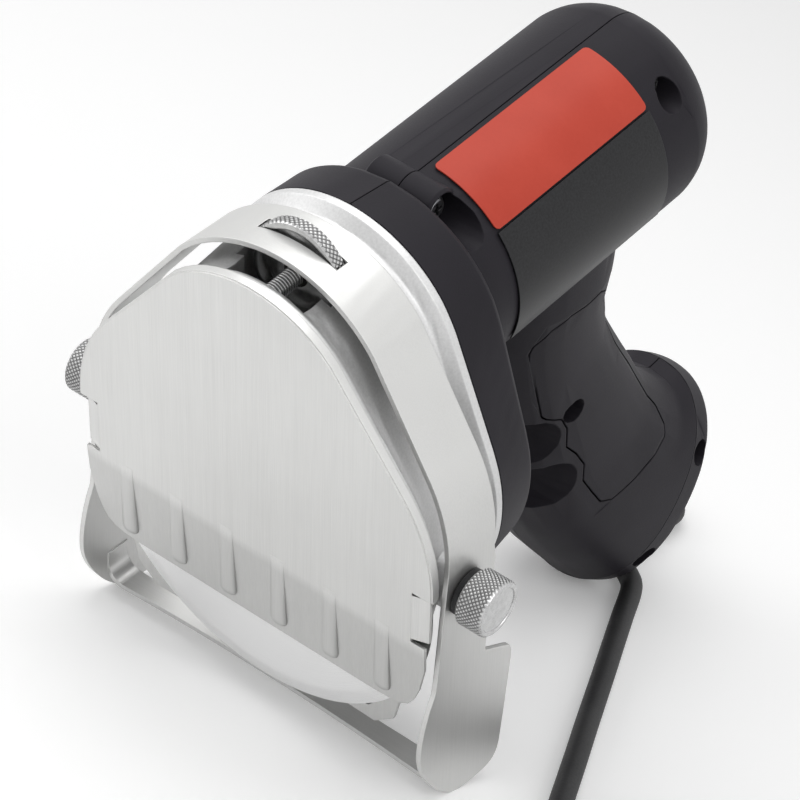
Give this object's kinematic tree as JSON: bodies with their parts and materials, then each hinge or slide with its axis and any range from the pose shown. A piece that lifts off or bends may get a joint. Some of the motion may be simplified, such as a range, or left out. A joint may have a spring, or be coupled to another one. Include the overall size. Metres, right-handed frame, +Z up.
{
  "type": "electric meat slicer",
  "caption": "Hand-held electric meat slicer: round blade behind a steel cover, wheel-set slice guard, motor barrel, swept-back handle and mains cord.",
  "frame": {"origin": "middle of the slicer's bounding box on the table, without its cord, coil and plug", "axes": "+X to the slicer's right seen from behind the blade, +Y from the blade towards the handle's end, +Z up; it stands on the guard's two feet and the handle's end"},
  "size_m": [0.2494, 0.2759, 0.17],
  "materials": {
    "brushed_steel": "brushed stainless sheet, fine vertical grain",
    "bright_steel": "polished and turned steel",
    "dark_steel": "blackened screws and shafts",
    "laminated_steel": "stacked motor laminations",
    "cast_alloy": "satin cast aluminium alloy",
    "dark_plastic": "charcoal, fine spark texture",
    "black_plastic": "black",
    "black_rubber": "black, flexible",
    "red_label": "plain red label film",
    "wound_copper": "enamelled copper wire and segments",
    "carbon": "pressed carbon",
    "brass": "bright brass"
  },
  "bodies": {
    "slicer": {"adjuster_rod": "bright_steel", "blade_back_plate": "brushed_steel", "blade_bearing_front": "bright_steel", "blade_bearing_rear": "bright_steel", "brush_holder_left": "brass", "brush_holder_right": "brass", "cap_screw_1": "dark_steel", "cap_screw_2": "dark_steel", "carbon_brush_left": "carbon", "carbon_brush_right": "carbon", "cord": "black_rubber", "cord_coil": "black_rubber", "drive_belt": "black_rubber", "field_coil_front": "wound_copper", "field_coil_rear": "wound_copper", "grip_panel_left": "dark_plastic", "grip_panel_right": "dark_plastic", "handle_end_cap": "dark_plastic", "head_casting": "cast_alloy", "housing_left": "dark_plastic", "housing_right": "dark_plastic", "housing_screw_barrel": "dark_steel", "housing_screw_collar": "dark_steel", "housing_screw_grip": "dark_steel", "label_panel": "red_label", "lead_live": "wound_copper", "lead_neutral": "wound_copper", "motor_bearing_front": "bright_steel", "motor_bearing_rear": "bright_steel", "pivot_spacer_left": "black_plastic", "pivot_spacer_right": "black_plastic", "plate_screw_1": "bright_steel", "plate_screw_2": "bright_steel", "plate_screw_3": "bright_steel", "plate_screw_4": "bright_steel", "plug_body": "black_plastic", "plug_pin_left": "bright_steel", "plug_pin_right": "bright_steel", "rating_plate": "black_plastic", "stator_core": "laminated_steel", "strain_relief": "black_rubber", "switch_body": "black_plastic"},
    "guard": {"guard_frame": "brushed_steel"},
    "wheel": {"slice_wheel": "bright_steel"},
    "blade_shaft": {"blade": "bright_steel", "blade_arbor": "dark_steel", "blade_clamp_screw": "bright_steel", "blade_pulley": "cast_alloy"},
    "motor_shaft_set": {"motor_shaft": "dark_steel", "rotor_core": "laminated_steel", "commutator": "wound_copper", "cooling_fan": "black_plastic", "motor_pulley": "cast_alloy"},
    "thumb_right": {"thumb_screw_right": "bright_steel"},
    "thumb_left": {"thumb_screw_left": "bright_steel"},
    "rocker": {"switch_rocker": "black_plastic"},
    "cover": {"front_cover": "brushed_steel"}
  },
  "joints": [
    {"name": "blade_spin", "type": "hinge", "parent": "slicer", "child": "blade_shaft", "pos_m": [0, -0.07475, 0.05148], "axis": [0, 0.9012, 0.4335], "continuous": true},
    {"name": "motor_spin", "type": "hinge", "parent": "slicer", "child": "motor_shaft_set", "pos_m": [0, -0.09293, 0.08927], "axis": [0, 0.9012, 0.4335], "continuous": true},
    {"name": "guard_tilt", "type": "hinge", "parent": "slicer", "child": "guard", "pos_m": [0, -0.06976, 0.06122], "axis": [1, 0, 0], "range_deg": [-2.5, 3.6]},
    {"name": "wheel_spin", "type": "hinge", "parent": "guard", "child": "wheel", "pos_m": [0, -0.09074, 0.11807], "axis": [0, 0.9311, 0.3649], "range_deg": [-1713, 1190]},
    {"name": "thumb_right_turn", "type": "hinge", "parent": "slicer", "child": "thumb_right", "pos_m": [0, -0.06976, 0.06122], "axis": [-1, 0, 0], "range_deg": [0, 720]},
    {"name": "thumb_left_turn", "type": "hinge", "parent": "slicer", "child": "thumb_left", "pos_m": [0, -0.06976, 0.06122], "axis": [1, 0, 0], "range_deg": [0, 720]},
    {"name": "rocker_tip", "type": "hinge", "parent": "slicer", "child": "rocker", "pos_m": [0, 0.03314, 0.14992], "axis": [1, 0, 0], "range_deg": [-14, 0]},
    {"name": "cover_lift", "type": "slide", "parent": "slicer", "child": "cover", "axis": [0, -0.9012, -0.4335], "range_m": [0, 0.03]}
  ],
  "couplings": [
    {"joint": "motor_spin", "follows": "blade_spin", "ratio": 3.4667},
    {"joint": "guard_tilt", "follows": "wheel_spin", "ratio": -0.0021008}
  ]
}
